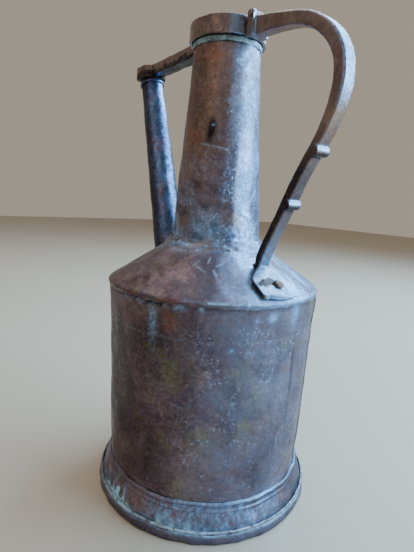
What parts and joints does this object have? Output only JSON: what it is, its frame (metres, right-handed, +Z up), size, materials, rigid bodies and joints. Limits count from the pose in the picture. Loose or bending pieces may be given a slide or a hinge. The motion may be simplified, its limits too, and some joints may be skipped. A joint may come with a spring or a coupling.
{
  "type": "oil can",
  "caption": "Sheet-copper oil can with a conical shoulder, tapering neck, hinged lid, forged loop handle and a long spout braced to the collar.",
  "frame": {"origin": "centre of the flat underside, on the can's axis", "axes": "+Z up along the can's axis, +X towards the handle and -X towards the spout, Y along the lid's hinge pin"},
  "size_m": [0.2166, 0.1554, 0.3174],
  "materials": {
    "body_copper": "aged brown copper, satin with worn and tarnished patches",
    "neck_copper": "aged copper with orange worn streaks and soot",
    "forged_copper": "dark forged copper, edges rubbed bright",
    "spout_copper": "dark smoke-tarnished copper",
    "verdigris_solder": "rough solder with pale green corrosion",
    "knob_brass": "dull brass"
  },
  "bodies": {
    "can": {"base_pan": "body_copper", "foot_skirt": "body_copper", "foot_rim_solder": "verdigris_solder", "body_wall": "body_copper", "shoulder_cone": "body_copper", "neck_tube": "neck_copper", "neck_flange": "neck_copper", "collar_band": "forged_copper", "collar_solder": "verdigris_solder", "handle_bar": "forged_copper", "handle_foot_rivet": "body_copper", "spout_tube": "spout_copper", "spout_base_solder": "verdigris_solder", "spout_lip_ring": "spout_copper", "brace_bar": "forged_copper", "hinge_pin": "forged_copper"},
    "lid": {"lid_plate": "body_copper", "lid_tongue": "forged_copper", "lid_rivet_1": "body_copper", "lid_rivet_2": "body_copper", "lid_knob": "knob_brass"}
  },
  "joints": [
    {"name": "lid_hinge", "type": "hinge", "parent": "can", "child": "lid", "pos_m": [0.029, 0, 0.3112], "axis": [0, 1, 0], "range_deg": [0, 165]}
  ]
}
